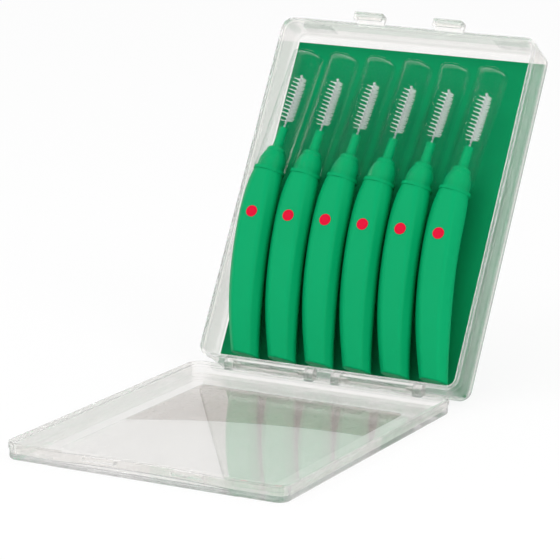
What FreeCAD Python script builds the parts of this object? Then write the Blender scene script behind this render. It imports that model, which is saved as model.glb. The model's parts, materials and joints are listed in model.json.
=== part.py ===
"""Set of capped interdental brushes in a clear hinged case, open on a table.

Frame: origin at the middle of the lid's underside, +X across the case, +Y towards the
hinge, +Z up. The lid lies flat and the tray leans back on the hinge, its foot on the table.
"""
import FreeCAD, Part
import math
import os

import Sketcher

V = FreeCAD.Vector

SIZES = [
    # case, millimetres
    ("case_width", 80.0),
    ("case_length", 105.0),
    ("lid_height", 4.5),
    ("tray_depth", 12.55),
    ("rim_corner", 3.6),
    ("rim_overhang", 0.25),
    ("wall", 0.85),
    ("lid_floor", 1.5),
    ("tray_floor", 1.1),
    ("lid_rim_height", 1.6),
    ("tray_rim_height", 2.2),
    ("edge_round", 0.8),
    ("bead_width", 0.4),
    ("bead_height", 0.5),
    ("bead_clearance", 0.1),
    ("rebate_depth", 0.7),
    ("rebate_strip", 0.3),
    # hinge of the case
    ("open_angle", 118.9),
    ("hinge_offset", 1.2),
    ("parting_gap", 0.1),
    ("knuckle_radius", 1.6),
    ("pin_radius", 0.56),
    ("pin_clearance", 0.06),
    ("pin_length", 2.2),
    ("hinge_gap", 0.2),
    ("lug_length", 22.0),
    ("lug_spacing", 33.2),
    ("ear_length", 2.6),
    # catch of the case
    ("tab_width", 8.8),
    ("tab_spacing", 24.8),
    ("tab_reach", 2.5),
    ("tab_thickness", 1.1),
    ("lip_thickness", 1.1),
    ("lip_height", 2.5),
    ("nub_height", 0.7),
    ("catch_height", 0.9),
    ("catch_clearance", 0.1),
    ("scoop_width", 53.0),
    ("scoop_depth", 2.4),
    # card, label and seals
    ("card_thickness", 0.5),
    ("card_clearance", 0.4),
    ("card_top_gap", 2.0),
    ("label_width", 62.0),
    ("label_length", 80.0),
    ("label_thickness", 0.2),
    ("seal_width", 10.0),
    ("seal_spacing", 61.0),
    ("seal_thickness", 0.1),
    ("seal_margin", 0.2),
    ("tray_seal_length", 6.5),
    # brushes in the tray
    ("brush_pitch", 11.65),
    ("brush_lean", 5.0),
    ("seat_clearance", 0.35),
    ("side_clearance", 0.25),
    ("foot_clearance", 0.6),
    # handle, along the brush axis from the collar down
    ("handle_length", 55.3),
    ("handle_bend", 12.2),
    ("collar_radius", 4.6),
    ("collar_height", 1.0),
    ("grip_width", 10.9),
    ("grip_flat", 6.2),
    ("grip_front", 5.0),
    ("grip_back", 8.2),
    ("grip_bevel", 3.4),
    ("grip_edge", 0.9),
    ("grip_side", 1.6),
    ("grip_heel", 1.7),
    ("foot_round", 0.5),
    # head, along the brush axis from the collar up
    ("spigot_height", 1.4),
    ("spigot_clearance", 0.05),
    ("shoulder_height", 4.0),
    ("crown_radius", 2.75),
    ("crown_height", 1.5),
    ("neck_root_radius", 1.5),
    ("neck_radius", 1.3),
    ("neck_length", 6.3),
    ("wire_radius", 0.35),
    ("wire_bore_depth", 3.0),
    ("wire_clearance", 0.02),
    ("wire_bare", 2.0),
    ("wire_tip", 0.4),
    ("bristle_length", 14.2),
    ("bristle_radius", 2.4),
    ("bristle_root", 1.6),
    # cap and size dot
    ("cap_radius", 4.6),
    ("cap_wall", 0.6),
    ("cap_length", 37.6),
    ("cap_dome_radius", 9.0),
    ("cap_corner", 1.5),
    ("cap_lip", 0.15),
    ("cap_lip_height", 1.0),
    ("cap_seat_gap", 0.05),
    ("dot_radius", 1.7),
    ("dot_thickness", 0.7),
    ("dot_proud", 0.12),
    ("dot_down", 14.5),
    # how far cuts run past the solid
    ("overrun", 1.0),
]

TUFT_COUNT = 12

# Shares of the handle from collar to foot: place along it, then the width, flat, front and back of each
# cross-section as shares of the grip's own sizes, and how far its corners are rounded towards a circle.
GRIP_SHARES = [
    (0.10, 0.93, 0.86, 0.94, 0.67, 0.50),
    (0.28, 1.00, 1.00, 1.00, 0.88, 0.25),
    (0.55, 1.00, 0.98, 1.00, 1.00, 0.20),
    (0.80, 0.93, 0.86, 0.92, 0.98, 0.20),
    (1.00, 0.80, 0.72, 0.74, 0.88, 0.30),
]
# How much of the collar the top of the grip fills, and how round it is there.
COLLAR_FILL_SHARE, COLLAR_ROUND_SHARE = 0.92, 0.80
BEND_START_SHARE = 0.25
CROWN_BULGE_SHARE = 0.25
SAME_LEVEL_SHARE = 0.001
BRISTLE_TAPER_SHARES = [(0.0, 0.90), (0.12, 1.0), (0.72, 1.0), (1.0, 0.62)]

doc = FreeCAD.newDocument("interdental_brush_set")
sheet = doc.addObject("Spreadsheet::Sheet", "Sizes")
for row, (alias, value) in enumerate(SIZES, start=1):
    sheet.set(f"A{row}", alias)
    sheet.set(f"B{row}", str(value))
    sheet.setAlias(f"B{row}", alias)
doc.recompute()


def size(expression):
    """The value of an expression in the sheet's names."""
    return float(sheet.evalExpression(expression))


def bind(thing, **expressions):
    """Ties properties of a document object to expressions in the sheet's names."""
    for name, expression in expressions.items():
        thing.setExpression(name.replace("__", "."), in_sheet(expression))


def in_sheet(expression):
    """The expression with each of the sheet's names written as a reference to its cell."""
    words = expression.replace("(", " ( ").replace(")", " ) ").split()
    names = {alias for alias, _ in SIZES}
    return " ".join(f"Sizes.{word}" if word in names else word for word in words)


# Sketches


def new_sketch(body, name, level="0"):
    """An empty sketch on the body's own XY plane, raised to a level."""
    sketch = body.newObject("Sketcher::SketchObject", name)
    plane = next(feature for feature in body.Origin.OriginFeatures if feature.Role == "XY_Plane")
    sketch.AttachmentSupport = [(plane, "")]
    sketch.MapMode = "FlatFace"
    bind(sketch, AttachmentOffset__Base__z=level)
    return sketch


def dimension(sketch, kind, first, second, expression):
    """A sketch dimension from one point to another, tied to the sheet."""
    index = sketch.addConstraint(Sketcher.Constraint(kind, *first, *second, size(expression)))
    sketch.setExpression(f"Constraints[{index}]", in_sheet(expression))


def rounded_rectangle(sketch, half_width, half_length, radius):
    """Four lines and four quarter arcs about the sketch's origin."""
    wide, long, turn = size(half_width), size(half_length), size(radius)
    inner_wide, inner_long = wide - turn, long - turn
    up = V(0, 0, 1)
    lines = [
        (V(-inner_wide, -long), V(inner_wide, -long)),
        (V(wide, -inner_long), V(wide, inner_long)),
        (V(inner_wide, long), V(-inner_wide, long)),
        (V(-wide, inner_long), V(-wide, -inner_long)),
    ]
    centres = [
        V(inner_wide, -inner_long), V(inner_wide, inner_long),
        V(-inner_wide, inner_long), V(-inner_wide, -inner_long),
    ]
    sides = [sketch.addGeometry(Part.LineSegment(*ends)) for ends in lines]
    turns = []
    for quarter, centre in enumerate(centres):
        begin = (quarter - 1) * math.pi / 2
        arc = Part.ArcOfCircle(Part.Circle(centre, up, turn), begin, begin + math.pi / 2)
        turns.append(sketch.addGeometry(arc))
    for corner in range(4):
        following = sides[(corner + 1) % 4]
        sketch.addConstraint(Sketcher.Constraint("Tangent", sides[corner], 2, turns[corner], 1))
        sketch.addConstraint(Sketcher.Constraint("Tangent", turns[corner], 2, following, 1))
        direction = "Horizontal" if corner % 2 == 0 else "Vertical"
        sketch.addConstraint(Sketcher.Constraint(direction, sides[corner]))
    for corner in range(1, 4):
        sketch.addConstraint(Sketcher.Constraint("Equal", turns[0], turns[corner]))
    index = sketch.addConstraint(Sketcher.Constraint("Radius", turns[0], turn))
    sketch.setExpression(f"Constraints[{index}]", in_sheet(radius))
    origin = (-1, 1)
    dimension(sketch, "DistanceX", origin, (sides[1], 1), half_width)
    dimension(sketch, "DistanceX", (sides[3], 1), origin, half_width)
    dimension(sketch, "DistanceY", (sides[0], 1), origin, half_length)
    dimension(sketch, "DistanceY", origin, (sides[2], 1), half_length)


def circle_segment(sketch, half_chord, base, rise):
    """A chord across the front of the case and the arc that bulges inwards from it."""
    half, low, high = size(half_chord), size(base), size(rise)
    radius = (half * half + high * high) / (2 * high)
    chord = sketch.addGeometry(Part.LineSegment(V(half, -low), V(-half, -low)))
    swing = math.asin(half / radius)
    circle = Part.Circle(V(0, high - low - radius), V(0, 0, 1), radius)
    arc = sketch.addGeometry(Part.ArcOfCircle(circle, math.pi / 2 - swing, math.pi / 2 + swing))
    sketch.addConstraint(Sketcher.Constraint("Coincident", chord, 1, arc, 1))
    sketch.addConstraint(Sketcher.Constraint("Coincident", chord, 2, arc, 2))
    sketch.addConstraint(Sketcher.Constraint("Horizontal", chord))
    origin = (-1, 1)
    dimension(sketch, "DistanceX", origin, (chord, 1), half_chord)
    dimension(sketch, "DistanceX", (chord, 2), origin, half_chord)
    dimension(sketch, "DistanceY", (chord, 1), origin, base)
    index = sketch.addConstraint(Sketcher.Constraint("Radius", arc, radius))
    square = f"( {half_chord} ) * ( {half_chord} ) + ( {rise} ) * ( {rise} )"
    sketch.setExpression(f"Constraints[{index}]", in_sheet(f"( {square} ) / ( 2 * ( {rise} ) )"))


# Features of a body


def pad(body, sketch, length, reverse=False):
    """Material from the sketch up, or down where it is reversed."""
    feature = body.newObject("PartDesign::Pad", sketch.Name + "_pad")
    feature.Profile = sketch
    feature.Reversed = reverse
    bind(feature, Length=length)
    doc.recompute()
    return feature


def pocket(body, sketch, depth):
    """A cut from the sketch down, checked to take material away."""
    before = body.Shape.Volume
    feature = body.newObject("PartDesign::Pocket", sketch.Name + "_pocket")
    feature.Profile = sketch
    bind(feature, Length=depth)
    doc.recompute()
    if body.Shape.Volume >= before:
        raise RuntimeError(f"{feature.Name} cuts nothing")
    return feature


def block(body, name, cut, low, length, width, height):
    """A box added to the body or cut from it, with its lowest corner at a place."""
    kind = "PartDesign::SubtractiveBox" if cut else "PartDesign::AdditiveBox"
    feature = body.newObject(kind, name)
    bind(feature, Length=length, Width=width, Height=height)
    bind(feature, Placement__Base__x=low[0], Placement__Base__y=low[1], Placement__Base__z=low[2])
    return feature


def rod(body, name, cut, low, length, radius):
    """A cylinder along X, added to the body or cut from it, starting at a place."""
    kind = "PartDesign::SubtractiveCylinder" if cut else "PartDesign::AdditiveCylinder"
    feature = body.newObject(kind, name)
    feature.Placement = FreeCAD.Placement(V(0, 0, 0), FreeCAD.Rotation(V(0, 1, 0), 90))
    bind(feature, Radius=radius, Height=length)
    bind(feature, Placement__Base__x=low[0], Placement__Base__y=low[1], Placement__Base__z=low[2])
    return feature


def round_rim_of_face(body, base, level, radius):
    """Rounds every edge that lies in one level plane of the body."""
    doc.recompute()
    edges = []
    for number, edge in enumerate(base.Shape.Edges, start=1):
        box = edge.BoundBox
        if abs(box.ZMin - level) + abs(box.ZMax - level) < size(radius) * SAME_LEVEL_SHARE:
            edges.append(f"Edge{number}")
    feature = body.newObject("PartDesign::Fillet", base.Name + "_round")
    feature.Base = (base, edges)
    bind(feature, Radius=radius)
    doc.recompute()


def across(spacing):
    """Expressions for the middles of a pair of like things, left and right."""
    return [("left", f"-1 * ( {spacing} ) / 2"), ("right", f"( {spacing} ) / 2")]


# Case


WALL_INSET = "( rim_overhang + wall )"
HALF_WIDTH = "case_width / 2"
HALF_LENGTH = "case_length / 2"
BEAD_INSET = "( rim_overhang + wall - bead_width )"
REBATE_INSET = "( rim_overhang + wall - bead_width - bead_clearance )"
LID_INSET = "( rim_overhang + wall + rebate_strip )"
CLEAR_RADIUS = "( knuckle_radius + hinge_gap )"
TRAY_AXIS = "parting_gap / 2"
LID_AXIS = "lid_height + parting_gap / 2"


def outline(body, name, inset, level="0"):
    """The case's rounded outline, drawn in by an inset, at a level of the body."""
    sketch = new_sketch(body, name, level)
    rounded_rectangle(
        sketch, f"{HALF_WIDTH} - {inset}", f"{HALF_LENGTH} - {inset}", f"rim_corner - {inset}"
    )
    return sketch


def knuckle_clearance(body, name, middle, length, axis_y, axis_z):
    """Room cut for the other half's knuckle to turn in."""
    start = f"{middle} - ( {length} ) / 2 - hinge_gap"
    rod(body, name, True, (start, axis_y, axis_z), f"( {length} ) + 2 * hinge_gap", CLEAR_RADIUS)


def knuckle(body, name, middle, length, axis_y, axis_z, arm_y, arm_z):
    """A hinge barrel and the short arm that joins it to the rim."""
    start = f"{middle} - ( {length} ) / 2"
    rod(body, name, False, (start, axis_y, axis_z), length, "knuckle_radius")
    arm_length = "hinge_offset + rim_overhang"
    arm_height = "knuckle_radius - parting_gap / 2"
    block(body, name + "_arm", False, (start, arm_y, arm_z), length, arm_length, arm_height)


def ear_middles():
    """Places of the lid's four hinge ears, one at each end of each lug."""
    gap = "( lug_length / 2 + hinge_gap + ear_length / 2 )"
    for side, middle in across("lug_spacing"):
        yield f"{side}_outer", f"{middle} - {gap}", 1
        yield f"{side}_inner", f"{middle} + {gap}", -1


def make_tray():
    """The deep half: its own Z points out of its mouth, with the rim at zero."""
    body = doc.addObject("PartDesign::Body", "case_tray")
    wall = pad(body, outline(body, "tray_wall", "rim_overhang"), "tray_depth", True)
    round_rim_of_face(body, wall, -size("tray_depth"), "edge_round")
    pad(body, outline(body, "tray_rim", "0"), "tray_rim_height", True)
    pad(body, outline(body, "tray_bead", BEAD_INSET), "bead_height")
    pocket(body, outline(body, "tray_hollow", WALL_INSET, "bead_height"),
           "bead_height + tray_depth - tray_floor")
    axis_y = f"-1 * {HALF_LENGTH} - hinge_offset"
    for name, middle, _ in ear_middles():
        knuckle_clearance(body, f"tray_ear_room_{name}", middle, "ear_length", axis_y, TRAY_AXIS)
    for side, middle in across("lug_spacing"):
        knuckle(body, f"tray_lug_{side}", middle, "lug_length", axis_y, TRAY_AXIS,
                axis_y, f"{TRAY_AXIS} - knuckle_radius")
        start = f"{middle} - lug_length / 2 - overrun"
        rod(body, f"tray_bore_{side}", True, (start, axis_y, TRAY_AXIS), "lug_length + 2 * overrun",
            "pin_radius + pin_clearance")
    for side, middle in across("tab_spacing"):
        start = f"{middle} - tab_width / 2"
        root = f"{HALF_LENGTH} - rim_overhang"
        block(body, f"tab_{side}", False, (start, root, "-1 * tab_thickness"),
              "tab_width", "tab_reach + rim_overhang", "tab_thickness")
        lip = f"{HALF_LENGTH} + tab_reach - lip_thickness"
        block(body, f"lip_{side}", False, (start, lip, "-1 * tab_thickness"),
              "tab_width", "lip_thickness", "tab_thickness + lip_height")
        nub = f"{HALF_LENGTH} + 2 * catch_clearance"
        block(body, f"nub_{side}", False, (start, nub, "lip_height - nub_height"),
              "tab_width", "tab_reach - lip_thickness - catch_clearance", "nub_height")
    doc.recompute()
    return body


def make_lid():
    """The shallow half: its own Z points out of its mouth, with its underside at zero."""
    body = doc.addObject("PartDesign::Body", "case_lid")
    wall = pad(body, outline(body, "lid_wall", "rim_overhang"), "lid_height")
    round_rim_of_face(body, wall, 0, "edge_round")
    pad(body, outline(body, "lid_rim", "0", "lid_height - lid_rim_height"), "lid_rim_height")
    pocket(body, outline(body, "lid_hollow", LID_INSET, "lid_height"), "lid_height - lid_floor")
    bulge = new_sketch(body, "scoop_wall")
    circle_segment(bulge, "scoop_width / 2 + wall", f"{HALF_LENGTH} - rim_overhang - wall / 2",
                   "scoop_depth + wall / 2")
    pad(body, bulge, "lid_height")
    pocket(body, outline(body, "lid_rebate", REBATE_INSET, "lid_height"), "rebate_depth")
    scoop = new_sketch(body, "scoop", "lid_height")
    circle_segment(scoop, "scoop_width / 2", HALF_LENGTH, "scoop_depth")
    pocket(body, scoop, "lid_height - lid_floor")
    for side, middle in across("tab_spacing"):
        low = (f"{middle} - tab_width / 2", f"-1 * {HALF_LENGTH} - catch_clearance",
               "lid_height + parting_gap - lip_height + nub_height + catch_clearance")
        block(body, f"catch_{side}", False, low,
              "tab_width", "scoop_depth + catch_clearance", "catch_height")
    axis_y = f"{HALF_LENGTH} + hinge_offset"
    for side, middle in across("lug_spacing"):
        knuckle_clearance(body, f"lid_lug_room_{side}", middle, "lug_length", axis_y, LID_AXIS)
    arm_y = f"{HALF_LENGTH} - rim_overhang"
    for name, middle, turn in ear_middles():
        knuckle(body, f"lid_ear_{name}", middle, "ear_length", axis_y, LID_AXIS,
                arm_y, f"{LID_AXIS} - knuckle_radius")
        face = f"{middle} + {turn} * ear_length / 2"
        start = face if turn > 0 else f"{face} - pin_length"
        rod(body, f"lid_pin_{name}", False, (start, axis_y, LID_AXIS), "pin_length", "pin_radius")
    block(body, "label_recess", True, ("-1 * label_width / 2", "-1 * label_length / 2", "0"),
          "label_width", "label_length", "label_thickness")
    doc.recompute()
    return body


# Flat pieces


def sheet_piece(label, low, length, width, height):
    """A flat box with its lowest corner at a place of the piece's own frame."""
    piece = doc.addObject("Part::Box", label)
    bind(piece, Length=length, Width=width, Height=height)
    doc.recompute()
    corner = FreeCAD.Placement(V(*(size(place) for place in low)), FreeCAD.Rotation())
    return piece, corner


# Brush


def spine(share):
    """How far the handle has bent sideways at a share of its length."""
    return size("handle_bend") * (BEND_START_SHARE * share + (1 - BEND_START_SHARE) * share * share)


def grip_section(place, half, flat, front, back, round_share):
    """One cross-section of the handle: a flat front, two bevels, two sides and a round heel."""
    share = half / size("grip_width / 2")
    full = min(half, front, back)
    edge, side, heel = (
        radius + round_share * (full - radius)
        for radius in (size("grip_edge"), share * size("grip_side"), share * size("grip_heel"))
    )
    flat = (1 - round_share) * flat
    bevel = (1 - round_share) * (share * size("grip_bevel") - front)
    rounds = [
        (V(-flat, edge - front), edge), (V(flat, edge - front), edge),
        (V(half - side, bevel), side), (V(0, back - heel), heel), (V(side - half, bevel), side),
    ]
    return outline_round(rounds, V(spine(place), 0, -place * size("handle_length")))


def grip_sections():
    """The cross-sections of the handle, from a nearly round one inside the collar down to the foot."""
    reach = COLLAR_FILL_SHARE * size("collar_radius")
    inside = size("collar_height / 2 / handle_length")
    sections = [grip_section(inside, reach, reach / 2, reach, reach, COLLAR_ROUND_SHARE)]
    for place, width, flat, front, back, round_share in GRIP_SHARES:
        sections.append(grip_section(
            place, width * size("grip_width / 2"), flat * size("grip_flat / 2"),
            front * size("grip_front"), back * size("grip_back"), round_share,
        ))
    return sections


def outline_round(rounds, shift):
    """The closed line drawn tight round circles, each a centre and a radius, in turn."""
    normals = []
    for (centre, radius), (following, other) in zip(rounds, rounds[1:] + rounds[:1]):
        line = following - centre
        along = V(line).normalize()
        lean = math.asin((radius - other) / line.Length)
        normals.append(V(along.y, -along.x) * math.cos(lean) + along * math.sin(lean))
    edges = []
    for place, (centre, radius) in enumerate(rounds):
        arriving, leaving = normals[place - 1], normals[place]
        following, other = rounds[(place + 1) % len(rounds)]
        between = (arriving + leaving).normalize()
        bend = [shift + centre + normal * radius for normal in (arriving, between, leaving)]
        edges.append(Part.Arc(*bend).toShape())
        edges.append(Part.LineSegment(bend[-1], shift + following + leaving * other).toShape())
    return Part.Wire(edges)


def turned(points):
    """A solid turned about the brush axis from a profile of points, each line or arc."""
    edges = []
    for start, end in zip(points, points[1:] + points[:1]):
        begin, finish = V(start[0], 0, start[1]), V(end[0], 0, end[1])
        if len(end) == 2:
            edges.append(Part.LineSegment(begin, finish).toShape())
        else:
            middle = V(end[2], 0, end[3])
            edges.append(Part.Arc(begin, middle, finish).toShape())
    return Part.Face(Part.Wire(edges)).revolve(V(0, 0, 0), V(0, 0, 1), 360)


NECK_TOP = "spigot_height + shoulder_height + crown_height + neck_length"


def dot_place():
    """The middle of the size dot on the front of the grip, in the brush's own frame."""
    share = size("dot_down") / size("handle_length")
    return V(spine(share), -size("grip_front"), -size("dot_down"))


def handle_shape():
    """Grip, collar, cap spigot, shoulder and neck, moulded in one."""
    grip = Part.makeLoft(grip_sections(), True, False)
    foot_level = (SAME_LEVEL_SHARE - 1) * size("handle_length")
    foot = [edge for edge in grip.Edges if edge.BoundBox.ZMax < foot_level]
    grip = grip.makeFillet(size("foot_round"), foot)
    collar_height = size("collar_height")
    collar = Part.makeCylinder(size("collar_radius"), collar_height, V(0, 0, -collar_height))
    spigot, crown = size("cap_radius - cap_wall - spigot_clearance"), size("crown_radius")
    root, neck, seat = size("neck_root_radius"), size("neck_radius"), size("spigot_height")
    brow = seat + size("shoulder_height")
    top = brow + size("crown_height")
    tip = size(NECK_TOP)
    sweep = ((spigot - crown) ** 2 + (brow - seat) ** 2) / (2 * (spigot - crown))
    half_turn = math.asin((brow - seat) / sweep) / 2
    dome = (spigot - sweep + sweep * math.cos(half_turn), seat + sweep * math.sin(half_turn))
    bulge = V(top - brow, crown - root) * CROWN_BULGE_SHARE
    cheek = ((crown + root) / 2 + bulge.x, (brow + top) / 2 + bulge.y)
    head = turned([(0, 0), (spigot, 0), (spigot, seat), (crown, brow, *dome), (root, top, *cheek),
                   (neck, tip), (0, tip)])
    depth = size("wire_bore_depth")
    bore_radius = size("wire_radius + wire_clearance")
    bore = Part.makeCylinder(bore_radius, depth + size("overrun"), V(0, 0, tip - depth))
    recess_depth = size("dot_thickness - dot_proud")
    inside = dot_place() + V(0, recess_depth, 0)
    recess = Part.makeCylinder(size("dot_radius"), recess_depth + size("overrun"), inside, V(0, -1, 0))
    return grip.fuse([collar, head]).removeSplitter().cut(bore.fuse(recess))


def bristle_shape():
    """The tufts as a turned body with one ridge for each turn of the wire."""
    length, root, reach = size("bristle_length"), size("bristle_root"), size("bristle_radius")
    bore = size("wire_radius + wire_clearance")
    low = size(f"{NECK_TOP} + wire_bare")

    def taper(share):
        for (begin, first), (end, last) in zip(BRISTLE_TAPER_SHARES, BRISTLE_TAPER_SHARES[1:]):
            if share <= end:
                return first + (last - first) * (share - begin) / (end - begin)
        return BRISTLE_TAPER_SHARES[-1][1]

    points = [(bore, low)]
    for step in range(2 * TUFT_COUNT + 1):
        share = step / (2 * TUFT_COUNT)
        radius = root if step % 2 == 0 else reach
        points.append((radius * taper(share), low + share * length))
    points.append((bore, low + length))
    return turned(points)


def side_reach(turn):
    """How far a lying brush reaches to one side of its collar: 1 to the right, -1 to the left."""
    lean = math.radians(size("brush_lean"))
    reaches = [size("cap_radius + cap_lip"),
               size("cap_radius") + turn * size("cap_length + cap_seat_gap") * math.sin(lean)]
    for place, width, *_ in GRIP_SHARES:
        sideways = turn * spine(place) + width * size("grip_width") / 2
        reaches.append(sideways * math.cos(lean) - turn * place * size("handle_length") * math.sin(lean))
    return max(reaches) + size("side_clearance")


def brush_count():
    """How many brushes lie side by side between the tray's walls."""
    room = size(f"2 * ( {HALF_WIDTH} - {WALL_INSET} )") - side_reach(1) - side_reach(-1)
    return 1 + math.floor(room / size("brush_pitch"))


def brush_place(number):
    """Where a brush's own frame stands in the tray: origin at the collar, Z along the wire."""
    lean = math.radians(size("brush_lean"))
    foot_side = size("handle_bend") + GRIP_SHARES[-1][1] * size("grip_width") / 2
    foot_drop = size("handle_length") * math.cos(lean) + foot_side * math.sin(lean)
    first = side_reach(-1) - size(f"{HALF_WIDTH} - {WALL_INSET}")
    low = size(f"foot_clearance + {WALL_INSET} - {HALF_LENGTH}")
    depth = size("tray_depth - tray_floor - card_thickness - seat_clearance - grip_back")
    base = V(first + number * size("brush_pitch"), low + foot_drop, -depth)
    upright = FreeCAD.Rotation(V(1, 0, 0), -90)
    return FreeCAD.Placement(base, FreeCAD.Rotation(V(0, 0, 1), -size("brush_lean")) * upright)


def cap_end(thinner):
    """The cap's side, corner and dome as a profile, drawn in by a thickness."""
    reach, corner, dome = size("cap_radius"), size("cap_corner"), size("cap_dome_radius")
    low = size("cap_length") - dome
    across_axis = reach - corner
    rise = math.sqrt((dome - corner) ** 2 - across_axis ** 2)
    swing = math.asin(across_axis / (dome - corner))
    bend = (math.pi / 2 - swing) / 2
    corner, dome = corner - thinner, dome - thinner
    side = (across_axis + corner, low + rise)
    turn = (dome * math.sin(swing), low + dome * math.cos(swing),
            across_axis + corner * math.cos(bend), low + rise + corner * math.sin(bend))
    crown = (0, low + dome, dome * math.sin(swing / 2), low + dome * math.cos(swing / 2))
    return side, turn, crown


def cap_shape():
    """A clear tube with a lip at its mouth and a gently arched end."""
    wall, lip, lip_height = size("cap_wall"), size("cap_lip"), size("cap_lip_height")
    outside = size("cap_radius")
    side, turn, crown = cap_end(0)
    inner_side, inner_turn, inner_crown = cap_end(wall)
    return turned([
        (outside - wall, 0), (outside + lip, 0), (outside + lip, lip_height - lip), (outside, lip_height),
        side, turn, crown,
        inner_crown[:2], (*inner_turn[:2], *inner_crown[2:]), (*inner_side, *inner_turn[2:]),
    ])


def make_wire(label):
    """The wire core from the bottom of its bore in the neck to just past the bristles."""
    wire = doc.addObject("Part::Cylinder", label)
    bind(wire, Radius="wire_radius",
         Height="wire_bore_depth + wire_bare + bristle_length + wire_tip")
    start = size(f"{NECK_TOP} - wire_bore_depth")
    return wire, FreeCAD.Placement(V(0, 0, start), FreeCAD.Rotation())


def make_dot(label):
    """The round size mark, let into the front of the grip."""
    dot = doc.addObject("Part::Cylinder", label)
    bind(dot, Radius="dot_radius", Height="dot_thickness")
    inside = dot_place() + V(0, size("dot_thickness - dot_proud"), 0)
    return dot, FreeCAD.Placement(inside, FreeCAD.Rotation(V(1, 0, 0), 90))


def make_shaped(label, shape, rise=0):
    """A piece whose free form is worked out from the sheet's sizes."""
    piece = doc.addObject("Part::Feature", label)
    piece.Shape = shape
    return piece, FreeCAD.Placement(V(0, 0, rise), FreeCAD.Rotation())


# Assembly


hinge_y = size(f"{HALF_LENGTH} + hinge_offset")
tilt = FreeCAD.Rotation(V(1, 0, 0), 180 - size("open_angle"))
hinge_in_tray = V(0, -hinge_y, size(TRAY_AXIS))
tray_place = FreeCAD.Placement(V(0, hinge_y, size(LID_AXIS)) - tilt.multVec(hinge_in_tray), tilt)
nodes = []


def place(piece, placement, label=None):
    """Seats a finished piece in the part's frame and keeps it as a node."""
    piece.Label = label or piece.Name
    piece.Placement = placement
    nodes.append(piece)


place(make_lid(), FreeCAD.Placement())
place(make_tray(), tray_place)

inner_half_width = f"{HALF_WIDTH} - {WALL_INSET} - card_clearance"
inner_half_length = f"{HALF_LENGTH} - {WALL_INSET} - card_clearance"
card, corner = sheet_piece(
    "backing_card",
    (f"-1 * ( {inner_half_width} )", f"-1 * ( {inner_half_length} )", "tray_floor - tray_depth"),
    f"2 * ( {inner_half_width} )", f"2 * ( {inner_half_length} ) - card_top_gap", "card_thickness",
)
place(card, tray_place * corner)

label_film, corner = sheet_piece(
    "lid_label", ("-1 * label_width / 2", "-1 * label_length / 2", "0"),
    "label_width", "label_length", "label_thickness",
)
place(label_film, corner)

for side, middle in across("seal_spacing"):
    start = f"{middle} - seal_width / 2"
    seal, corner = sheet_piece(
        f"tray_seal_{side}",
        (start, f"{HALF_LENGTH} - rim_overhang",
         "-1 * tray_rim_height - seal_margin - tray_seal_length"),
        "seal_width", "seal_thickness", "tray_seal_length",
    )
    place(seal, tray_place * corner)
    seal, corner = sheet_piece(
        f"lid_seal_{side}",
        (start, f"rim_overhang - {HALF_LENGTH} - seal_thickness", "edge_round + seal_margin"),
        "seal_width", "seal_thickness", "lid_height - lid_rim_height - edge_round - 2 * seal_margin",
    )
    place(seal, corner)

handle_form = handle_shape()
bristle_form = bristle_shape()
cap_form = cap_shape()
for number in range(brush_count()):
    brush = tray_place * brush_place(number)
    order = number + 1
    for piece, offset in (
        make_shaped(f"handle_{order}", handle_form),
        make_wire(f"wire_{order}"),
        make_shaped(f"bristles_{order}", bristle_form),
        make_dot(f"size_dot_{order}"),
        make_shaped(f"cap_{order}", cap_form, size("cap_seat_gap")),
    ):
        place(piece, brush * offset)

doc.recompute()

for thing in doc.Objects:
    if "Invalid" in thing.State or "Error" in thing.State:
        raise RuntimeError(f"{thing.Name} failed: {thing.State}")
for node in nodes:
    shape = node.Shape
    if shape.isNull() or not shape.isValid() or len(shape.Solids) != 1:
        raise RuntimeError(f"{node.Label} is not one valid solid")

os.makedirs("parts", exist_ok=True)
for node in nodes:
    node.Shape.exportStep(f"parts/{node.Label}.step")
    print(node.Label, round(node.Shape.Volume, 2), "mm3")
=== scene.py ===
# %% [markdown]
# # Six interdental brushes in a clear hinged case
# The case lies open: its shallow lid is flat on the table and its deep tray leans back on the hinge.
# Six green brushes under clear caps lie side by side in the tray, in front of a green card.
# The CAD model already gives the moulded parts their true shape. This lesson gives every part its finish,
# makes the parts that the solids show too plainly, which are the filaments, the twisted wires and
# the label film, and sets up the light and the camera.

import json
import math
import random

import bpy
from mathutils import Matrix, Vector


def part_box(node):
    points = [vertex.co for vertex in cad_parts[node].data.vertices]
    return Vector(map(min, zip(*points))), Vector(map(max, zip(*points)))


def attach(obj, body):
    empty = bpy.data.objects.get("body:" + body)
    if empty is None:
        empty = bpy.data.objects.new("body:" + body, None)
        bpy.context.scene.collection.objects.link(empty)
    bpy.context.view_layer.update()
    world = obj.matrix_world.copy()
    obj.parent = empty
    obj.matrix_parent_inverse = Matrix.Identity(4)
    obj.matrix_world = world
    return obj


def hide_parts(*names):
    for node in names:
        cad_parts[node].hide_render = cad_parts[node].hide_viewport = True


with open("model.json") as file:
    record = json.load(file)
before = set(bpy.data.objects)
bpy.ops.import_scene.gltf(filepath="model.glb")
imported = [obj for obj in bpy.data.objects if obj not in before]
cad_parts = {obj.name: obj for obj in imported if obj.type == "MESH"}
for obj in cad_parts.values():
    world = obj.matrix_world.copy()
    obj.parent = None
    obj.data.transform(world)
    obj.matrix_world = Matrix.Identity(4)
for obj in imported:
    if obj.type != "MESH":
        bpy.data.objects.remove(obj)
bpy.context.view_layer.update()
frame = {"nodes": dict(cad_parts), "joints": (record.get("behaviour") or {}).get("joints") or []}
nodes = frame["nodes"]
MM = 0.001
BRUSHES = [number for number in range(1, len(nodes) + 1) if f"handle_{number}" in nodes]

# %% [markdown]
# ## Where each brush stands
# A brush leans in the tray, and the tray leans on its hinge, so a brush has its own frame.
# The joint that pulls the cap off runs along the brush, so it gives the direction of the wire,
# and the joint that lifts the brush out of the tray gives the direction that its front faces.
# The wire's own solid gives the place and the length.

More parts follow.
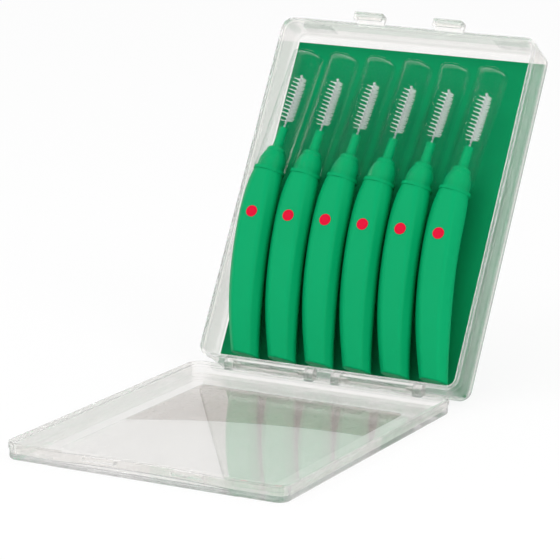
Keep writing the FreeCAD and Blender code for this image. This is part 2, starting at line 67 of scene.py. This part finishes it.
# %% Brush frames
JOINT_AXES = {joint["name"]: Vector(joint["axis"]).normalized() for joint in frame["joints"]}


def along(node, direction):
    """Lowest and highest place of a node's corners along a direction."""
    places = [corner.co.dot(direction) for corner in nodes[node].data.vertices]
    return min(places), max(places)


def middle(node, direction):
    """The middle of a node across one direction."""
    low, high = along(node, direction)
    return (low + high) / 2


class BrushFrame:
    """A brush's own axes in the part's frame: Z up the wire, Y into the tray, X to the right."""

    def __init__(self, number):
        self.up = JOINT_AXES[f"cap_{number}_pull"]
        self.inward = -JOINT_AXES[f"brush_{number}_lift"]
        self.right = self.inward.cross(self.up)
        wire = f"wire_{number}"
        self.wire_low, self.wire_high = along(wire, self.up)
        self.centre = self.right * middle(wire, self.right) + self.inward * middle(wire, self.inward)

    def place(self, height):
        """A matrix that carries a shape from the world's origin to a height on this brush's axis."""
        turn = Matrix((self.right, self.inward, self.up)).transposed().to_4x4()
        return Matrix.Translation(self.centre + self.up * height) @ turn


brush_frames = {number: BrushFrame(number) for number in BRUSHES}
first_brush = brush_frames[1]
wire_length = first_brush.wire_high - first_brush.wire_low
print("wire of the first brush:", round(wire_length / MM, 2), "mm long")

# %% [markdown]
# ## Finishes as sums
# A finish is a small graph of shader nodes. Writing it as Python sums keeps it readable:
# `Value` wraps one output socket, and adding or multiplying two of them adds a Math node.
# `Graph` holds the nodes and has one method that adds a node of any other kind. A finish is the graph
# of a material, and the light of the surroundings, near the end, is the graph of the world.

# %% A wrapper for shader sums
class Value:
    """A number that changes from place to place."""

    def __init__(self, graph, socket):
        self.graph = graph
        self.socket = socket

    def combine(self, operation, left, right):
        """The result of a Math node on two values or plain numbers."""
        node = self.graph.add("ShaderNodeMath", {"operation": operation}, {0: left, 1: right})
        return Value(self.graph, node.outputs[0])

    def __add__(self, other):
        return self.combine("ADD", self, other)

    def __sub__(self, other):
        return self.combine("SUBTRACT", self, other)

    def __rsub__(self, other):
        return self.combine("SUBTRACT", other, self)

    def __mul__(self, other):
        return self.combine("MULTIPLY", self, other)

    def __pow__(self, other):
        return self.combine("POWER", self, other)

    def __rpow__(self, other):
        return self.combine("POWER", other, self)

    __radd__ = __add__
    __rmul__ = __mul__


class Graph:
    """The shader nodes of a material or of the world."""

    def __init__(self, owner):
        owner.use_nodes = True
        self.tree = owner.node_tree

    def add(self, kind, settings, sockets):
        """A node of a kind, with its settings and the values or links of its sockets."""
        node = self.tree.nodes.new(kind)
        for name, setting in settings.items():
            setattr(node, name, setting)
        for name, value in sockets.items():
            self.feed(node.inputs[name], value)
        return node

    def feed(self, socket, value):
        """Links a socket to a value or another socket, or sets it to a plain number or colour."""
        if isinstance(value, Value):
            self.tree.links.new(value.socket, socket)
        elif isinstance(value, bpy.types.NodeSocket):
            self.tree.links.new(value, socket)
        else:
            socket.default_value = value

    def ramp(self, value, low, high):
        """The value stretched so that low becomes 0 and high becomes 1, with the rest cut off."""
        node = self.add("ShaderNodeMapRange", {"clamp": True},
                        {"Value": value, "From Min": low, "From Max": high})
        return Value(self, node.outputs[0])


print("wrapper classes:", Value.__name__, Graph.__name__)

# %% [markdown]
# ## What a finish is made of
# Most finishes need the same few things: a cloudy noise at a real size, a blend of two colours, a tiny
# relief, and a number that tells a wall seen edge on from one seen square on.
# Colours are written as they look on a screen, because that is how a person picks them.

# %% Finishes
# A Mix node for colours has its share, its two colours and its result at these places.
MIX_SHARE, MIX_FIRST, MIX_SECOND, MIX_RESULT = 0, 6, 7, 2


class Finish(Graph):
    """A material with one surface shader, and the nodes that feed it."""

    def __init__(self, name):
        self.material = bpy.data.materials.new(name)
        super().__init__(self.material)
        self.surface = self.tree.nodes["Principled BSDF"]
        self.coordinates = self.add("ShaderNodeTexCoord", {}, {}).outputs["Object"]

    def set(self, **sockets):
        """Sets or links inputs of the surface shader, by their names with _ for a space."""
        for name, value in sockets.items():
            self.feed(self.surface.inputs[name.replace("_", " ")], value)

    def noise(self, size, detail, stretch=(1.0, 1.0, 1.0)):
        """Cloudy variation from 0 to 1, with lumps about as large as a size in metres."""
        mapping = self.add("ShaderNodeMapping", {}, {"Vector": self.coordinates, "Scale": stretch})
        node = self.add("ShaderNodeTexNoise", {},
                        {"Vector": mapping.outputs[0], "Scale": 1.0 / size, "Detail": detail})
        return Value(self, node.outputs["Fac"])

    def edge_on(self):
        """How nearly the surface is seen edge on: 0 where it is square on, 1 at its outline."""
        node = self.add("ShaderNodeLayerWeight", {}, {"Blend": 0.5})
        return Value(self, node.outputs["Facing"])

    def blend(self, share, first, second):
        """A colour between two others."""
        node = self.add("ShaderNodeMix", {"data_type": "RGBA"},
                        {MIX_SHARE: share, MIX_FIRST: first, MIX_SECOND: second})
        return node.outputs[MIX_RESULT]

    def bump(self, height, depth):
        """Tiny relief: a height from 0 to 1 that stands for a depth in metres."""
        node = self.add("ShaderNodeBump", {}, {"Height": height, "Strength": 1.0, "Distance": depth})
        return node.outputs[0]


def colour(red, green, blue):
    """A colour given as it looks on a screen, from 0 to 255, turned into light by the standard curve."""
    def light(step):
        share = step / 255
        return share / 12.92 if share <= 0.04045 else ((share + 0.055) / 1.055) ** 2.4
    return (light(red), light(green), light(blue), 1.0)


print("screen green as light:", [round(part, 3) for part in colour(0, 165, 105)])

# %% [markdown]
# ## Clear plastics
# The case and the caps are moulded in clear plastic. Light goes through and bends, so the surface
# shader's transmission is full. That alone would throw a solid shadow, so the alpha lets a share of
# the light go straight through, and the lamps reach what lies inside.
# What makes it look like plastic and not like air is small: a faint tint, painted shade that turns a wall
# dark where it is seen edge on and draws its outline, a little haze, handling marks that change the gloss,
# and a slow waviness from moulding.
# The caps are so thin that they hardly bend light: only their edges and their tops show, and the green
# behind them stays green. Their alpha is low, and rises where the wall is seen edge on.

# %% Clear plastic finishes
WAVE_SIZE = 9 * MM
MARK_SIZE = 6 * MM
MARK_STRETCH = (1.0, 1.0, 0.3)
MARK_LEVELS = (0.45, 0.75)
MARK_TINT_SHARE = 0.97
MARK_HAZE = 0.012
SMEAR_SIZE = 4 * MM
SMEAR_HAZE = 0.03


def clear_plastic(name, tint, edge_on_painted_shade, bending, haze, wave):
    """Clear moulded plastic with handling marks, whose tint gives way to painted shade where it is seen
    edge on.
    """
    outline_sharpness, alpha_square_on, alpha_gain = 14, 0.36, 0.6
    finish = Finish(name)
    edge_on = finish.edge_on()
    marks = finish.ramp(finish.noise(MARK_SIZE, 5.0, MARK_STRETCH), *MARK_LEVELS)
    marked_tint = tuple(MARK_TINT_SHARE * part for part in tint[:3]) + (1.0,)
    handled = finish.blend(marks, tint, marked_tint)
    # Painted shade: the colour turns to a dark tint where the wall is seen edge on, which draws the
    # outlines.
    finish.set(Base_Color=finish.blend(edge_on ** outline_sharpness, handled, edge_on_painted_shade))
    finish.set(Transmission_Weight=1.0, IOR=bending)
    finish.set(Roughness=haze + marks * MARK_HAZE)
    finish.set(Normal=finish.bump(finish.noise(WAVE_SIZE, 1.0), wave))
    finish.set(Alpha=alpha_square_on + edge_on * alpha_gain)
    return finish.material


def thin_tube(name, tint, bending, haze, wave):
    """Thin clear plastic that nearly all light goes straight through, except where it is seen edge on."""
    outline_sharpness, alpha_square_on, alpha_gain = 4, 0.03, 0.6
    finish = Finish(name)
    finish.set(Base_Color=tint, Transmission_Weight=1.0, IOR=bending)
    finish.set(Roughness=haze + finish.noise(SMEAR_SIZE, 4.0) * SMEAR_HAZE)
    finish.set(Normal=finish.bump(finish.noise(WAVE_SIZE, 1.0), wave))
    finish.set(Alpha=alpha_square_on + finish.edge_on() ** outline_sharpness * alpha_gain)
    return finish.material


# The dark colour for walls seen edge on is painted shade that draws the case's outlines.
case_finish = clear_plastic("clear_case", tint=colour(238, 235, 231), edge_on_painted_shade=colour(40, 39, 38),
                            bending=1.5, haze=0.004, wave=0.003 * MM)
cap_finish = thin_tube("clear_cap", tint=colour(186, 228, 209), bending=1.35, haze=0.01, wave=0.008 * MM)
print("clear finishes:", case_finish.name, cap_finish.name)

# %% [markdown]
# ## Thin films
# A seal is a strip of matt clear tape, and the label under the lid is a printed film.
# Glass against glass would trap the light between them, so a film isn't glass here:
# it is a thin pale skin that lets a share of the light straight through.
# The label has two plain tones: it is nearly clear towards the front, up to an arched edge,
# and smoky behind it.

# %% Film finishes
AIR_SIZE = 2.5 * MM
AIR_LEVELS = (0.5, 0.7)
GRAIN_SIZE = 1.2 * MM
ARCH_MIDDLE = (30 * MM, -95 * MM, 0.0)
ARCH_RADIUS = 108 * MM
ARCH_SOFTNESS = 0.25 * MM


def clear_tape(name):
    """Matt clear tape, a little uneven where air is caught under it."""
    finish = Finish(name)
    air = finish.ramp(finish.noise(AIR_SIZE, 4.0), *AIR_LEVELS)
    finish.set(Base_Color=finish.blend(air, colour(236, 236, 233), colour(246, 246, 244)))
    finish.set(Alpha=0.1 + air * 0.12)
    finish.set(Roughness=0.3 + air * 0.15)
    return finish.material


def two_tone_film(name):
    """Film whose pale front meets its smoky back along a circle with a soft edge."""
    finish = Finish(name)
    distance = finish.add("ShaderNodeVectorMath", {"operation": "DISTANCE"},
                          {0: finish.coordinates, 1: ARCH_MIDDLE}).outputs["Value"]
    front = finish.ramp(distance, ARCH_RADIUS + ARCH_SOFTNESS, ARCH_RADIUS - ARCH_SOFTNESS)
    grain = finish.noise(GRAIN_SIZE, 4.0)
    smoky = finish.blend(grain, colour(204, 190, 180), colour(196, 182, 172))
    pale = finish.blend(grain, colour(250, 252, 251), colour(244, 249, 247))
    finish.set(Base_Color=finish.blend(front, smoky, pale))
    finish.set(Roughness=0.1 + grain * 0.08)
    finish.set(Alpha=0.42 - front * 0.3)
    return finish.material


tape_finish = clear_tape("clear_tape")
label_finish = two_tone_film("label_film")
print("film finishes:", tape_finish.name, label_finish.name)

# %% [markdown]
# ## Green handles, red dots and the printed card
# The handles are solid coloured plastic with a satin skin, so they get a soft highlight, a very fine
# texture and hardly any change of colour. The dots are a second plastic let into them.
# The card is printed board: matt, with fibres and a slightly uneven ink.

# %% Solid finishes
CLOUD_SIZE = 14 * MM
TOUCH_SIZE = 2 * MM
SKIN_SIZE, SKIN_DEPTH = 0.35 * MM, 0.004 * MM
INK_SIZE = 22 * MM
FIBRE_SIZE, FIBRE_DEPTH = 0.6 * MM, 0.01 * MM
FIBRE_STRETCH = (1.0, 0.25, 0.25)


def satin_plastic(name, shade, deep):
    """Coloured moulded plastic with a fine skin and a soft highlight."""
    finish = Finish(name)
    finish.set(Base_Color=finish.blend(finish.noise(CLOUD_SIZE, 2.0), shade, deep))
    finish.set(Roughness=0.42 + finish.noise(TOUCH_SIZE, 4.0) * 0.1, IOR=1.16)
    finish.set(Normal=finish.bump(finish.noise(SKIN_SIZE, 2.0), SKIN_DEPTH))
    return finish.material


def printed_card(name, shade, deep):
    """Printed board with a little fibre in it."""
    finish = Finish(name)
    fibre = finish.noise(FIBRE_SIZE, 6.0, FIBRE_STRETCH)
    finish.set(Base_Color=finish.blend(finish.noise(INK_SIZE, 4.0), shade, deep))
    finish.set(Roughness=0.6 + fibre * 0.2, IOR=1.2)
    finish.set(Normal=finish.bump(fibre, FIBRE_DEPTH))
    return finish.material


handle_finish = satin_plastic("handle_green", colour(0, 168, 106), colour(0, 163, 102))
dot_finish = satin_plastic("dot_red", colour(226, 14, 56), colour(220, 10, 52))
card_finish = printed_card("card_green", colour(0, 150, 94), colour(0, 144, 90))
print("solid finishes:", handle_finish.name, dot_finish.name, card_finish.name)

# %% [markdown]
# ## Filaments and wire
# The filaments are nylon: white, a little glassy, and each one slightly different from the next.
# The wire is coated steel, so it is bright metal with fine marks.

# %% Finishes of the head
FILAMENT_TONE_SIZE = 0.5 * MM
DRAWING_MARK_SIZE = 0.25 * MM


def nylon(name):
    """White filament, lighter and darker by turns."""
    finish = Finish(name)
    mixed = finish.noise(FILAMENT_TONE_SIZE, 2.0)
    finish.set(Base_Color=finish.blend(mixed, colour(246, 248, 247), colour(232, 240, 236)))
    finish.set(Roughness=0.4 + mixed * 0.2)
    return finish.material


def bright_wire(name):
    """Steel wire with fine marks from drawing."""
    finish = Finish(name)
    drawn = finish.noise(DRAWING_MARK_SIZE, 3.0)
    finish.set(Base_Color=finish.blend(drawn, colour(214, 216, 218), colour(188, 191, 194)))
    finish.set(Metallic=1.0, Roughness=0.25 + drawn * 0.2)
    return finish.material


nylon_finish = nylon("bristle_nylon")
wire_finish = bright_wire("wire_steel")
print("head finishes:", nylon_finish.name, wire_finish.name)

# %% [markdown]
# ## Dressing the moulded parts
# The case, the card, the seals, the handles, the dots and the caps keep their CAD shapes, which are right
# already. Each only gets its finish, in every material slot that it has.

# %% Dress the CAD nodes
def dress(node, finish):
    """Gives a CAD node one finish all over."""
    piece = nodes[node]
    if not piece.material_slots:
        piece.data.materials.append(finish)
    for material_slot in piece.material_slots:
        material_slot.material = finish


finish_of = {"case_tray": case_finish, "case_lid": case_finish, "backing_card": card_finish}
for side in ("left", "right"):
    finish_of[f"tray_seal_{side}"] = tape_finish
    finish_of[f"lid_seal_{side}"] = tape_finish
for number in BRUSHES:
    finish_of[f"handle_{number}"] = handle_finish
    finish_of[f"size_dot_{number}"] = dot_finish
    finish_of[f"cap_{number}"] = cap_finish
for node, finish in finish_of.items():
    dress(node, finish)
print("dressed nodes:", len(finish_of))

# %% [markdown]
# ## Twisted wires
# An interdental brush starts as one wire folded in half, with filaments laid between its two legs.
# Then the legs are twisted, which grips the filaments and winds them into a screw.
# So a wire here is two thin strands that run round each other. The Screw modifier makes one strand
# from a ring that stands beside the axis, and its twin is the same strand turned by half a turn.
# The screw is left-handed, so its angle is negative.

# %% Size of a strand
TWIST_PITCH = 2.4 * MM
TWIST_TURN = -2 * math.pi
STRANDS = 2
wire_left, wire_right = along("wire_1", first_brush.right)
strand_radius = (wire_right - wire_left) / STRANDS / 2
turns = round(wire_length / TWIST_PITCH)
print("strand:", round(2 * strand_radius / MM, 2), "mm thick,", turns, "turns")

# %% One twisted wire
STRAND_SIDES = 10
STRAND_FILL_SHARE = 0.97
STEPS_PER_TURN = 14
SMOOTH_BELOW = math.radians(50)


def select_only(piece):
    """Makes a piece the only one that operators act on."""
    bpy.ops.object.select_all(action="DESELECT")
    piece.select_set(True)
    bpy.context.view_layer.objects.active = piece


def half_turn_twin(piece):
    """Joins a piece with its own copy, turned by half a turn about Z."""
    select_only(piece)
    bpy.ops.object.duplicate()
    bpy.ops.transform.rotate(value=math.pi, orient_axis="Z", center_override=(0, 0, 0))
    bpy.ops.object.transform_apply(location=True, rotation=True, scale=True)
    piece.select_set(True)
    bpy.context.view_layer.objects.active = piece
    bpy.ops.object.join()


def triangles(piece):
    """How many triangles a piece has."""
    return sum(len(face.vertices) - 2 for face in piece.data.polygons)


bpy.ops.object.select_all(action="DESELECT")
bpy.ops.mesh.primitive_circle_add(vertices=STRAND_SIDES, radius=STRAND_FILL_SHARE * strand_radius,
                                  location=(strand_radius, 0, 0), rotation=(math.pi / 2, 0, 0))
strand = bpy.context.object
bpy.ops.object.transform_apply(location=True, rotation=True, scale=True)
screw = strand.modifiers.new("twist", "SCREW")
screw.angle = TWIST_TURN
screw.screw_offset = wire_length / turns
screw.iterations = turns
screw.steps = STEPS_PER_TURN
screw.render_steps = STEPS_PER_TURN
bpy.ops.object.modifier_apply(modifier="twist")
bpy.ops.object.mode_set(mode="EDIT")
bpy.ops.mesh.select_all(action="SELECT")
bpy.ops.mesh.fill_holes(sides=0)
bpy.ops.mesh.normals_make_consistent(inside=False)
bpy.ops.object.mode_set(mode="OBJECT")
half_turn_twin(strand)
bpy.ops.object.shade_smooth_by_angle(angle=SMOOTH_BELOW)
strand.data.materials.clear()
strand.data.materials.append(wire_finish)
print("wire:", STRANDS, "strands,", triangles(strand), "triangles")

# %% The wires in their brushes
def seat_copy(master, name, number, height, node):
    """A copy of a master shape, carried to a height on a brush, in place of a CAD node."""
    select_only(master)
    bpy.ops.object.duplicate()
    piece = bpy.context.object
    piece.name = name
    piece.matrix_world = brush_frames[number].place(height)
    bpy.ops.object.transform_apply(location=True, rotation=True, scale=True)
    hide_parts(node)
    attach(piece, f"brush_{number}")


for number in BRUSHES:
    low = brush_frames[number].wire_low
    seat_copy(strand, f"twisted_wire_{number}", number, low, f"wire_{number}")
bpy.data.objects.remove(strand)
print("wires seated:", len(BRUSHES))

# %% [markdown]
# ## Bristle heads
# Twisting winds the filaments into a two-start screw, and from the side that looks like the teeth
# of a comb. One filament is a slim four-sided cone that starts at the wire. A few of them make a small
# fan, each a little longer, shorter or more tilted than the next. The fan and its twin on the other side
# of the wire are then repeated by an Array modifier: an empty that is turned and raised by one fan tells
# it where the next fan goes.
# Scaling ever smaller bands at the top narrows the tip, so that it finds its way between teeth.

# %% One fan of filaments
FILAMENTS_PER_TURN = 46
FAN_COUNT = 6
FILAMENT_SIDES = 4
FILAMENT_ROOT_RADIUS = 0.075 * MM
FILAMENT_TIP_RADIUS = 0.045 * MM
REACH_SHARES = (0.88, 0.98)
TILT_DEGREES = 5
head_low, head_high = along("bristles_1", first_brush.up)
head_left, head_right = along("bristles_1", first_brush.right)
head_length = head_high - head_low
head_radius = (head_right - head_left) / 2
filament_step = TWIST_TURN / FILAMENTS_PER_TURN
filament_rise = TWIST_PITCH / FILAMENTS_PER_TURN
chance = random.Random(7)
fan = []
for order in range(FAN_COUNT):
    reach = head_radius * chance.uniform(*REACH_SHARES)
    tilt = math.radians(chance.uniform(-TILT_DEGREES, TILT_DEGREES))
    bpy.ops.object.select_all(action="DESELECT")
    bpy.ops.mesh.primitive_cone_add(vertices=FILAMENT_SIDES, depth=reach,
                                    radius1=FILAMENT_ROOT_RADIUS, radius2=FILAMENT_TIP_RADIUS,
                                    location=(reach / 2, 0, 0), rotation=(0, math.pi / 2, 0))
    bpy.ops.object.transform_apply(location=True, rotation=True, scale=True)
    filament = bpy.context.object
    filament.rotation_euler = (0, tilt, order * filament_step)
    filament.location = (0, 0, order * filament_rise)
    bpy.ops.object.transform_apply(location=True, rotation=True, scale=True)
    fan.append(filament)
head = fan[0]
bpy.ops.object.select_all(action="DESELECT")
for filament in fan:
    filament.select_set(True)
bpy.context.view_layer.objects.active = head
bpy.ops.object.join()
half_turn_twin(head)
print("fan:", len(head.data.polygons), "faces")

# %% The fan repeated up the wire
fan_rise = FAN_COUNT * filament_rise
tilt_room = head_radius * math.sin(math.radians(TILT_DEGREES))
repeats = math.floor((head_length - 2 * tilt_room) / fan_rise)
bpy.ops.object.select_all(action="DESELECT")
bpy.ops.object.empty_add(location=(0, 0, fan_rise), rotation=(0, 0, FAN_COUNT * filament_step))
next_fan = bpy.context.object
select_only(head)
array = head.modifiers.new("screw", "ARRAY")
array.use_relative_offset = False
array.use_object_offset = True
array.offset_object = next_fan
array.count = repeats
bpy.ops.object.modifier_apply(modifier="screw")
bpy.data.objects.remove(next_fan)
print("bristle head:", repeats * 2 * FAN_COUNT, "filaments,", triangles(head), "triangles")

# %% The narrow tip
# Each band starts at a share of the head's length and is drawn in to a share of its width.
TIP_BAND_SHARES = ((0.74, 0.95), (0.82, 0.94), (0.89, 0.92), (0.95, 0.9))
for start_share, width_share in TIP_BAND_SHARES:
    for corner in head.data.vertices:
        corner.select = corner.co.z > start_share * head_length
    bpy.ops.object.mode_set(mode="EDIT")
    bpy.ops.transform.resize(value=(width_share, width_share, 1), center_override=(0, 0, 0))
    bpy.ops.mesh.select_all(action="DESELECT")
    bpy.ops.object.mode_set(mode="OBJECT")
head.data.materials.clear()
head.data.materials.append(nylon_finish)
print("bands drawn in at the tip:", len(TIP_BAND_SHARES))

# %% The heads on their wires
for number in BRUSHES:
    low, _ = along(f"bristles_{number}", brush_frames[number].up)
    seat_copy(head, f"bristle_head_{number}", number, low + tilt_room, f"bristles_{number}")
bpy.data.objects.remove(head)
print("heads seated:", len(BRUSHES))

# %% [markdown]
# ## The label film
# The label lies in a shallow recess under the lid. It is cut with rounded corners, which a box lacks,
# and it has a hair of air above it and below it, which keeps its faces from lying in the same plane
# as those of the plastic and the table.
# A plane at the film's size becomes that when its four corners are bevelled and it is drawn up
# to its thickness.

# %% Label film
LABEL_MARGIN = 0.2 * MM
AIR = 0.04 * MM
CORNER = 2.0 * MM
CORNER_STEPS = 6
label_low, label_high = (Vector(corner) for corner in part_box("lid_label"))
label_size = label_high - label_low - Vector((2 * LABEL_MARGIN, 2 * LABEL_MARGIN, 2 * AIR))
label_middle = (label_low + label_high) / 2
bpy.ops.object.select_all(action="DESELECT")
bpy.ops.mesh.primitive_plane_add(size=1.0, location=(label_middle.x, label_middle.y, label_low.z + AIR))
film = bpy.context.object
film.name = "label_film"
film.scale = (label_size.x, label_size.y, 1.0)
bpy.ops.object.transform_apply(location=True, rotation=True, scale=True)
bpy.ops.object.mode_set(mode="EDIT")
bpy.ops.mesh.select_all(action="SELECT")
bpy.ops.mesh.bevel(offset=CORNER, segments=CORNER_STEPS, affect="VERTICES")
bpy.ops.mesh.select_all(action="SELECT")
bpy.ops.mesh.extrude_region_move(TRANSFORM_OT_translate={"value": (0, 0, label_size.z)})
bpy.ops.mesh.select_all(action="SELECT")
bpy.ops.mesh.normals_make_consistent(inside=False)
bpy.ops.object.mode_set(mode="OBJECT")
film.data.materials.append(label_finish)
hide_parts("lid_label")
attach(film, "lid")
print("label film:", [round(side / MM, 2) for side in label_size], "mm,", len(film.data.polygons), "faces")

# %% [markdown]
# ## Floor, light and camera
# The picture is lit softly from all round, with three large soft lamps that shape the handles and draw
# the bright streaks on the caps.
# Clear plastic shows only what surrounds it. The lid mirrors what lies low behind the case, so the
# surroundings are bright there and overhead, and dim in front.
# The floor is white paper. Seen straight on or by way of the plastic, it is lifted towards white,
# and its shadow stays.

# %% Floor
FLOOR_SIZE = 8.0
FLOOR_DROP = 0.02 * MM
FLOOR_WHITE = (0.9, 0.9, 0.9, 1.0)
SEEN_LIFT, MIRRORED_LIFT = 0.85, 0.7
bpy.ops.object.select_all(action="DESELECT")
bpy.ops.mesh.primitive_plane_add(size=FLOOR_SIZE, location=(0, 0, -FLOOR_DROP))
floor = bpy.context.object
floor.name = "floor"
paper = Finish("floor_white")
paper.set(Base_Color=FLOOR_WHITE, Roughness=0.9)
rays = paper.add("ShaderNodeLightPath", {}, {}).outputs
lift = Value(paper, rays["Is Camera Ray"]) * SEEN_LIFT
for kind in ("Is Glossy Ray", "Is Transmission Ray"):
    lift = lift + Value(paper, rays[kind]) * MIRRORED_LIFT
glow = paper.add("ShaderNodeEmission", {}, {"Strength": 1.0})
lifted = paper.add("ShaderNodeMixShader", {}, {
    0: paper.ramp(lift, 0.0, 1.0),
    1: paper.surface.outputs[0],
    2: glow.outputs[0],
})
paper.feed(paper.tree.nodes["Material Output"].inputs["Surface"], lifted.outputs[0])
floor.data.materials.append(paper.material)
print("floor:", FLOOR_SIZE, "m wide")

# %% Surroundings
BRIGHT_SIDE = (0.0, 0.8, 1.0)
SIDE_SOFTNESS = 0.5
DIM, BRIGHT = 0.25, 0.95
WHITE = (1.0, 1.0, 1.0, 1.0)
world = bpy.data.worlds.new("studio")
bpy.context.scene.world = world
sky = Graph(world)
ray = sky.add("ShaderNodeTexCoord", {}, {}).outputs["Generated"]
toward = sky.add("ShaderNodeVectorMath", {"operation": "DOT_PRODUCT"}, {0: ray, 1: BRIGHT_SIDE})
brightness = sky.ramp(toward.outputs["Value"], -SIDE_SOFTNESS, SIDE_SOFTNESS)
background = sky.tree.nodes["Background"]
sky.feed(background.inputs["Color"], WHITE)
sky.feed(background.inputs["Strength"], DIM + brightness * (BRIGHT - DIM))
print("surroundings: strength", DIM, "to", BRIGHT)

# %% Lamps
HANDLE_FRONTS = (0, 0.06, 0.04)
TRAY_MIDDLE = (0, 0.08, 0.06)


def soft_lamp(name, place, target, size, power):
    """A large square lamp that faces a point, with its size in metres and its power in watts."""
    bpy.ops.object.light_add(type="AREA", location=place)
    lamp = bpy.context.object
    lamp.name = name
    lamp.data.size = size
    lamp.data.energy = power
    lamp.rotation_euler = (Vector(target) - Vector(place)).to_track_quat("-Z", "Y").to_euler()
    print(name, power, "W")


soft_lamp("key_lamp", place=(-0.5, -0.7, 0.9), target=HANDLE_FRONTS, size=0.5, power=2.4)
soft_lamp("fill_lamp", place=(0.8, -0.3, 0.6), target=HANDLE_FRONTS, size=0.4, power=1.8)
soft_lamp("front_lamp", place=(0.1, -1.1, 0.75), target=TRAY_MIDDLE, size=0.9, power=3.2)

# %% Camera
LENS = 193.35
SENSOR_WIDTH = 36.0
FARTHEST = 20.0
CAMERA_PLACE = (342.3 * MM, -688.3 * MM, 206.9 * MM)
CAMERA_TURN_DEGREES = (77.902, -1.597, 26.009)
camera_data = bpy.data.cameras.new("camera")
camera = bpy.data.objects.new("camera", camera_data)
bpy.context.scene.collection.objects.link(camera)
camera_data.lens = LENS
camera_data.sensor_width = SENSOR_WIDTH
camera_data.clip_end = FARTHEST
camera.location = CAMERA_PLACE
camera.rotation_euler = tuple(math.radians(angle) for angle in CAMERA_TURN_DEGREES)
bpy.context.scene.camera = camera
bpy.context.scene.view_settings.view_transform = "Standard"
print("camera:", round(Vector(CAMERA_PLACE).length, 3), "m from the part's origin")
